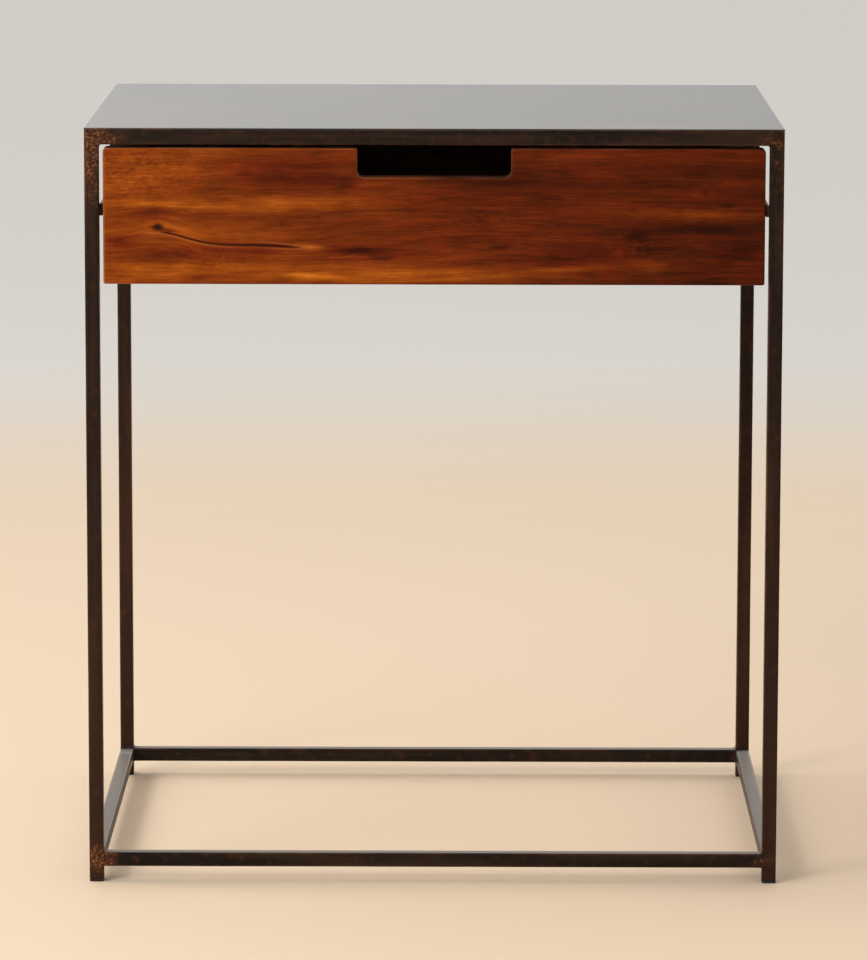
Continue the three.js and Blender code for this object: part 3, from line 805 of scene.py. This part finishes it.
class Figure:
    """The board's figure at points x, z of its face, in millimetres."""

    def __init__(self, x, z, low, high):
        self.low = low
        self.width = high.x - low.x
        self.height = high.z - low.z
        self.x = np.asarray(x, float)
        self.z = np.asarray(z, float)
        self.u = (self.x - low.x) / self.width
        self.v = (self.z - low.z) / self.height
        self.crack_v = self.crack_height()
        self.above_crack = (self.v - self.crack_v) * self.height
        self.crack_width = profile(CRACK_WIDTH, self.u)

    def crack_height(self):
        """Height of the crack, or of the grain that carries it on, smooth at each of its points."""
        softening = (-0.012, 0, 0.012)
        return sum(np.interp(self.u + d, *zip(*CRACK)) for d in softening) / len(softening)

    def spot(self, across, up, half_x, half_z, rise=0.0):
        """1 in the middle of a patch, falling off smoothly to its edge and past it."""
        dx = self.x - self.low.x - across * self.width
        dz = self.z - self.low.z - up * self.height - rise * dx
        return np.exp(-((dx / half_x) ** 2) - (dz / half_z) ** 2)

    def crack(self):
        """1 inside the crack, fading over its lips."""
        half = np.maximum(self.crack_width / 2, 1e-3)
        return np.clip(1.5 - np.abs(self.above_crack) / half, 0, 1) * (self.crack_width > 0.05)

    def lip_highlight(self):
        """The paler line along each side of the crack: a painted highlight on its raised lips."""
        under = np.exp(-(((self.above_crack + 0.9 + self.crack_width / 2) / 0.7) ** 2))
        rise = profile([(0.215, 2.4), (0.3, 1.7), (0.337, 0.4)], self.u)
        over = np.exp(-(((self.above_crack - rise) / 0.7) ** 2))
        return profile(LIP_HIGHLIGHT, self.u) * under + profile(UPPER_LIP_HIGHLIGHT, self.u) * over

    def knots(self):
        """How dark the knots are, 0 outside them."""
        dark = np.zeros_like(self.u)
        for across, up, half_x, half_z, strength in KNOTS:
            spot = self.spot(across, up, half_x, half_z)
            dark = np.maximum(dark, strength * np.clip(1.6 * spot - 0.3, 0, 1))
        return dark

    def depth(self):
        """How far the face lies behind a plane in front of it: deeper at the crack and the knots,
        a hair less deep at the crack's lips."""
        sunk = FACE_DEPTH + 0.5 * np.sqrt(self.crack()) + 0.3 * self.knots()
        return np.clip(sunk - 0.06 * self.lip_highlight(), 0, None)

    def tone_and_red(self):
        """Tone, darkest at 0, and redness, golden at 0. Patches have frayed edges."""
        x, z = self.x, self.z
        frayed = Figure(
            x + 9 * drift(x, z, 40, 4, 1.0) + 3 * drift(x, z, 12, 1.8, 2.0),
            z + 1.6 * drift(x, z, 45, 7, 3.0) + 0.5 * drift(x, z, 14, 2.5, 4.0),
            self.low, self.low + Vector((self.width, 0, self.height)))
        tone = np.interp(self.u, *zip(*BOARD_TONE))
        red = np.interp(self.u, *zip(*BOARD_RED))
        for across, up, half_x, half_z, rise, tone_change, red_change in FIGURE:
            spot = frayed.spot(across, up, half_x, half_z, rise)
            tone = tone + tone_change * spot
            red = red + red_change * spot
        return tone, red

    def curl(self):
        """How curly the grain is, from 0 to 1."""
        curl = 0.12 + sum(self.spot(*place) for place in CURLED)
        return np.clip(curl, 0, 1)

    def flow(self):
        """Height measured along the grain, which follows the crack and parts round the knots."""
        beside = profile([(0.0, 0), (0.06, 1), (0.27, 1), (0.4, 0)], self.u)
        near = np.exp(-((self.above_crack / 20) ** 2)) * beside
        mean_v = sum(p[1] for p in CRACK) / len(CRACK)
        flow = self.z - near * (self.crack_v - mean_v) * self.height
        flow = flow + 1.6 * np.sin(self.u * 7.0 + 0.6) + 0.5 * np.sin(self.u * 17 + self.v * 3)
        for across, up, half_x, half_z, _ in KNOTS:
            middle = self.low.z + up * self.height
            flow = flow - 0.75 * (self.z - middle) * self.spot(across, up, half_x * 3, half_z * 2.4)
        return flow


def front_outline(low, high, inset):
    """The front's outline in x and z with the finger pull in its top edge, inset by that much."""
    top, bottom = FRONT_TOP_CORNER, FRONT_LOW_CORNER
    pull_x = PULL_WIDTH / 2
    pull_z = high.z - PULL_DEPTH
    hollow = PULL_CORNER + inset
    corners = [  # centre of the arc, its radius, and where it starts and ends in degrees
        (low.x + bottom, low.z + bottom, bottom - inset, 180, 270),
        (high.x - bottom, low.z + bottom, bottom - inset, 270, 360),
        (high.x - top, high.z - top, top - inset, 0, 90),
        (pull_x + PULL_LIP, high.z - PULL_LIP, PULL_LIP - inset, 90, 180),
        (pull_x - PULL_CORNER, pull_z + PULL_CORNER, hollow, 0, -90),
        (-pull_x + PULL_CORNER, pull_z + PULL_CORNER, hollow, 270, 180),
        (-pull_x - PULL_LIP, high.z - PULL_LIP, PULL_LIP - inset, 0, 90),
        (low.x + top, high.z - top, top - inset, 90, 180),
    ]
    arcs = []
    for x, z, radius, start, end in corners:
        turn = end - start
        angles = [math.radians(start + turn * i / ARC_PIECES) for i in range(ARC_PIECES + 1)]
        arcs.append([Vector((x + radius * math.cos(a), z + radius * math.sin(a))) for a in angles])
    outline = []
    for arc, following, count in zip(arcs, arcs[1:] + arcs[:1], EDGE_STEPS):
        outline += arc
        outline += [arc[-1].lerp(following[0], i / count) for i in range(1, count)]
    for point in outline:  # the left edge is rubbed rounder than the rest
        near_edge = math.exp(-((point.x - low.x) / EDGE_RUB_REACH) ** 2)
        point.x += EDGE_RUB * inset * near_edge
    return outline


def face_points(low, high):
    """Points of the face clear of its rim: a coarse grid, and a fine one at the crack and knots."""
    margin = 1.0 + FRONT_EASING
    rows = []
    for fine, across, up in ((False, 1.7, 1.2), (True, 0.6, 0.5)):
        xs = np.arange(low.x + margin + 1, high.x - margin, across)
        zs = np.arange(low.z + margin, high.z - margin, up)
        grid_x, grid_z = np.meshgrid(xs, zs)
        grid_x = grid_x + (np.arange(len(zs)) % 2)[:, None] * across / 2
        x, z = grid_x.ravel(), grid_z.ravel()
        figure = Figure(x, z, low, high)
        near = np.abs(figure.above_crack) < NEAR_CRACK
        near = near & (figure.u > CRACK_SPAN[0]) & (figure.u < CRACK_SPAN[1])
        for across_share, up_share, half_x, half_z, _ in KNOTS:
            near = near | (figure.spot(across_share, up_share, half_x * 1.3, half_z * 1.3) > 0.3)
        rows.append(np.stack([x, z], 1)[near == fine])
    x, z = np.concatenate(rows).T
    in_pull = (np.abs(x) < PULL_WIDTH / 2 + margin) & (z > high.z - PULL_DEPTH - margin)
    corner_x = np.maximum(0, np.abs(x) - (high.x - FRONT_TOP_CORNER))
    corner_z = np.maximum(0, z - (high.z - FRONT_TOP_CORNER))
    keep = ~in_pull & (np.hypot(corner_x, corner_z) < FRONT_TOP_CORNER - margin + 0.3)
    return [Vector(point) for point in np.stack([x, z], 1)[keep]]


def drawer_front():
    """The front board: a dense face with its relief, rounded arrises, and a plain back."""
    low, high = cad_box("drawer_front")
    easing = FRONT_EASING
    turns = [math.radians(angle) for angle in (90, 67.5, 45, 22.5, 0)]
    eased = [(easing * (1 - math.cos(a)), easing * (1 - math.sin(a))) for a in turns]
    levels = [(inset, low.y + depth) for inset, depth in eased]
    levels += [(0, y) for y in spread(low.y + easing, high.y - easing, 3)[1:-1]]
    levels += [(inset, high.y - depth) for inset, depth in reversed(eased)]

    rings = [[(p.x, y, p.y) for p in front_outline(low, high, inset)] for inset, y in levels]
    count = len(rings[0])
    faces = [f for f in joined_rings(rings) if len(f) == 4]
    faces.append(range((len(rings) - 1) * count, len(rings) * count))
    points = [p for ring in rings for p in ring]

    rim = [Vector((p[0], p[2])) for p in rings[0]]
    made = delaunay_2d_cdt(rim + face_points(low, high), [], [list(range(count))], 1, 1e-5)
    places, triangles, sources = made[0], made[2], made[3]
    index = {}
    for i, place in enumerate(places):
        rim_source = [s for s in sources[i] if s < count]
        if rim_source:
            index[i] = rim_source[0]
        else:
            index[i] = len(points)
            points.append((place.x, low.y, place.y))
    faces += [[index[i] for i in triangle] for triangle in triangles]

    points = np.array(points, float)
    figure = Figure(points[:, 0], points[:, 2], low, high)
    tone, red = figure.tone_and_red()
    from_face = points[:, 1] - low.y
    on_face = np.clip(1 - from_face / easing, 0, 1)
    arch = np.sin(np.pi * np.clip(from_face / easing, 0, 1))
    rounding = np.where(from_face < easing * 1.5, arch, 0)
    # lighter rounded edges: painted highlight, strongest at the left where the light comes from,
    # broken up like wear
    worn_and_highlit = np.clip(0.6 - 0.5 * figure.u + 0.5 * drift(figure.x, figure.z, 30, 30, 9.0), 0, 1)
    on_end = (np.abs(figure.x) > high.x - 0.3) | (from_face > high.y - low.y - 0.3)
    inner = np.arange(len(points)) >= len(rings) * count
    relief = figure.depth() - FACE_DEPTH + 0.03 * drift(figure.x, figure.z, 60, 5, 3.0)
    points[:, 1] += np.where(inner, np.clip(relief, 0, None), 0)
    flow = np.stack([figure.x, points[:, 1], figure.flow()], 1) * MM
    values = {
        "tone": tone,
        "red": red,
        "curl": figure.curl(),
        "crack": figure.crack() * on_face,
        "lip_highlight": figure.lip_highlight() * on_face,
        "knot": figure.knots() * on_face,
        "edge": rounding * worn_and_highlit,
        "end": np.where(on_end & (from_face > easing), 1.0, 0.0),
        "flow": flow,
    }
    piece = new_piece("drawer_front_board", points.tolist(), faces, FRONT_WOOD, 40, values)
    stand_in(piece, "drawer_front")


# ------------------------------------------------------------------ the drawer's box and runners


def rounded_outline(corners, reach, steps=3):
    """A closed outline with those corners, each rounded off over that reach to either side. The
    rounding is tightest in its middle, where its radius is 0.7 of the reach."""
    outline = []
    count = len(corners)
    for i, corner in enumerate(corners):
        before = (corners[i - 1] - corner).normalized()
        after = (corners[(i + 1) % count] - corner).normalized()
        start = corner + before * reach
        end = corner + after * reach
        for step in range(steps + 1):
            t = step / steps
            outline.append(start * (1 - t) ** 2 + corner * 2 * t * (1 - t) + end * t**2)
    return outline


def inset_outline(outline, inset):
    """The outline moved inward, square to itself at every point."""
    count = len(outline)
    moved = []
    for i, point in enumerate(outline):
        along = (outline[(i + 1) % count] - outline[i - 1]).normalized()
        moved.append(point + Vector((-along.y, along.x)) * inset)
    return moved


def long_board(name, outline, start, end, easing, material):
    """A board with that section in x and z from start to end in y, its ends eased."""
    flat = easing + CAP_RING
    stations = [(start, flat), (start, easing), (start + easing * 0.3, easing * 0.3)]
    stations += [(y, 0) for y in spread(start + easing, end - easing, 20)]
    stations += [(end - easing * 0.3, easing * 0.3), (end, easing), (end, flat)]
    rings = [[(p.x, y, p.y) for p in inset_outline(outline, inset)] for y, inset in stations]
    return new_piece(name, [p for ring in rings for p in ring], joined_rings(rings), material)


def screw_hole(mouth, inward, radius, depth=2.2):
    """A cutter for the recess round a screw's head: mouth is where its axis meets the surface."""
    shank = radius * 0.55
    shape = [(-1, radius), (0.3, radius), (depth, shank), (depth + 1, shank)]
    return turned("hole", inward, mouth, shape, NYLON)


def drawer_sides():
    """The sides of the box, each with a groove outside for its runner and one inside for the
    bottom. The stop screw's head stands over a shallow recess."""
    bottom_low, bottom_high = cad_box("drawer_bottom")
    for side, outward in (("left", -1), ("right", 1)):
        node = f"drawer_side_{side}"
        low, high = cad_box(node)
        outer = high.x if outward > 0 else low.x
        inner = low.x if outward > 0 else high.x
        groove_x = outer - outward * RUNNER_GROOVE
        slot_x = inner + outward * BOTTOM_GROOVE
        slot_low = bottom_low.z - BOTTOM_GROOVE_SLACK
        slot_high = bottom_high.z + BOTTOM_GROOVE_SLACK
        corners = [
            (outer, low.z), (outer, RUNNER_GROOVE_LOW), (groove_x, RUNNER_GROOVE_LOW),
            (groove_x, RUNNER_GROOVE_HIGH), (outer, RUNNER_GROOVE_HIGH), (outer, high.z),
            (inner, high.z), (inner, slot_high), (slot_x, slot_high), (slot_x, slot_low),
            (inner, slot_low), (inner, low.z),
        ]
        if outward < 0:
            corners = corners[::-1]
        outline = rounded_outline([Vector(c) for c in corners], SIDE_CORNER)
        board = long_board(f"{node}_board", outline, low.y, high.y, SIDE_EASING, SIDE_WOOD)
        screw_low, screw_high = cad_box(f"stop_screw_{side}")
        middle = (screw_low + screw_high) / 2
        radius = (screw_high.z - screw_low.z) / 2 + HOLE_SLACK
        mouth = Vector((inner, middle.y, middle.z))
        cut(board, [screw_hole(mouth, (outward, 0, 0), radius)])
        stand_in(board, node)


def drawer_back():
    """The board that closes the box behind, its edges rounded."""
    low, high = cad_box("drawer_back")
    points, faces = rounded_box_mesh(low, high, 0.9, 12)
    stand_in(new_piece("drawer_back_board", points, faces, BACK_WOOD), "drawer_back")


def drawer_bottom():
    """Thin plywood with a shallow recess underneath at each screw into the back."""
    low, high = cad_box("drawer_bottom")
    points, faces = rounded_box_mesh(low, high, 0.3, 14)
    board = new_piece("drawer_bottom_board", points, faces, PLYWOOD)
    cutters = []
    for place in ("left", "middle", "right"):
        screw_low, screw_high = cad_box(f"bottom_screw_{place}")
        middle = (screw_low + screw_high) / 2
        radius = (screw_high.x - screw_low.x) / 2 + HOLE_SLACK
        mouth = Vector((middle.x, middle.y, low.z))
        cutters.append(screw_hole(mouth, (0, 0, 1), radius, 2.0))
    stand_in(cut(board, cutters), "drawer_bottom")


def runners():
    """Moulded runners, rounded all round, countersunk for the two screws that sit flush."""
    for side, outward in (("left", -1), ("right", 1)):
        node = f"runner_{side}"
        low, high = cad_box(node)
        points, faces = rounded_box_mesh(low, high, 0.7, 6)
        bar = new_piece(f"{node}_moulded", points, faces, NYLON)
        face_x = low.x if outward > 0 else high.x
        cutters = []
        for place in ("middle", "rear"):
            screw_low, screw_high = cad_box(f"runner_screw_{side}_{place}")
            middle = (screw_low + screw_high) / 2
            radius = (screw_high.z - screw_low.z) / 2 + HOLE_SLACK
            mouth = Vector((face_x, middle.y, middle.z))
            cutters.append(screw_hole(mouth, (outward, 0, 0), radius))
        stand_in(cut(bar, cutters), node)


def fastenings():
    """Screws and dowels keep their CAD shapes and get their own materials."""
    for name, node in frame["nodes"].items():
        if "screw" in name:
            node.data.materials[0] = SCREW_STEEL
        elif "dowel" in name:
            node.data.materials[0] = DOWEL_WOOD


# ------------------------------------------------------------------ floor, light and camera


FLOOR_HALF = 20  # metres
WARM_FLOOR = (1.4, 3.0)  # metres from the middle where the floor's warmth starts to fade and ends
ROOM_COLOUR = (1.0, 0.985, 0.96, 1.0)
LENS = 201.8  # on a sensor 36 wide
CAMERA_PLACE = (14.8, -4233.2, 950.0)
CAMERA_DOWN, CAMERA_TURN, CAMERA_ROLL = 8.976, 0.21, 0.12  # degrees


def pale_floor():
    """A pale floor, warm round the table and neutral far from it."""
    mesh = bpy.data.meshes.new("floor")
    corners = [(x * FLOOR_HALF, y * FLOOR_HALF, 0) for x, y in ((-1, -1), (1, -1), (1, 1), (-1, 1))]
    mesh.from_pydata(corners, [], [(0, 1, 2, 3)])
    floor = bpy.data.objects.new("floor", mesh)
    SCENE.collection.objects.link(floor)
    s = Shader("pale_floor")
    distance = s.add("ShaderNodeVectorMath", "Value", {0: s.place}, operation="LENGTH")
    grit = s.noise(s.stretched(s.place, (3, 3, 3)), detail=4, roughness=0.7)
    warm = s.mix(grit, rgb(222, 199, 172), rgb(228, 207, 181))
    s.set(
        Base_Color=s.mix(s.step(distance, *WARM_FLOOR), warm, rgb(218, 215, 210)),
        Roughness=0.7,
        Specular_IOR_Level=0.2,
        Normal=s.bump(grit, 0.1),
    )
    mesh.materials.append(s.material)


def soft_room():
    """Light from all round: dim in front, brighter behind, to the left and overhead."""
    world = bpy.data.worlds.new("studio")
    world.use_nodes = True
    SCENE.world = world
    n = Nodes(world.node_tree)
    direction = n.add("ShaderNodeTexCoord", "Generated")
    x, y, z = (n.add("ShaderNodeSeparateXYZ", axis, {0: direction}) for axis in "XYZ")
    strength = n.plus(n.step(y, -0.35, 0.75, 0.10, 0.65), n.step(x, 0.15, -0.35, 0.0, 0.4))
    strength = n.plus(strength, n.step(z, 0.15, 0.75, 0.0, 0.5))
    background = world.node_tree.nodes["Background"]
    n.feed(background.inputs["Strength"], strength)
    n.feed(background.inputs["Color"], ROOM_COLOUR)


def soft_light(name, place, aim, size, power, spread=180, colour=(1.0, 0.97, 0.93)):
    """A round soft light, its places and size in metres, that fans out over spread degrees."""
    data = bpy.data.lights.new(name, "AREA")
    data.spread = math.radians(spread)
    data.shape = "DISK"
    data.size = size
    data.energy = power
    data.color = colour
    light = bpy.data.objects.new(name, data)
    SCENE.collection.objects.link(light)
    light.location = place
    light.rotation_euler = (Vector(aim) - Vector(place)).to_track_quat("-Z", "Y").to_euler()
    light.visible_camera = False


def camera():
    """A long lens a little above the table, looking almost straight at the drawer."""
    data = bpy.data.cameras.new("camera")
    data.lens = LENS
    data.sensor_width = 36
    data.clip_end = 100
    view = bpy.data.objects.new("camera", data)
    SCENE.collection.objects.link(view)
    down, turn, roll = (math.radians(angle) for angle in (CAMERA_DOWN, CAMERA_TURN, CAMERA_ROLL))
    rotation = Matrix.Rotation(turn, 4, "Z") @ Matrix.Rotation(math.pi / 2 - down, 4, "X")
    rotation = rotation @ Matrix.Rotation(roll, 4, "Z")
    view.matrix_world = Matrix.Translation(Vector(CAMERA_PLACE) * MM) @ rotation
    SCENE.camera = view


camera()
pale_floor()
soft_room()
soft_light("key", (-2.6, 0.1, 2.7), (0, 0, 0.3), 1.0, 33)
soft_light("fill", (-1.9, -1.9, 1.5), (0, 0, 0.35), 1.4, 17.5, spread=120)
welded_frame()
top_sheet()
foot_pads()
drawer_front()
drawer_sides()
drawer_back()
drawer_bottom()
runners()
fastenings()

SCENE.view_settings.view_transform = "Standard"
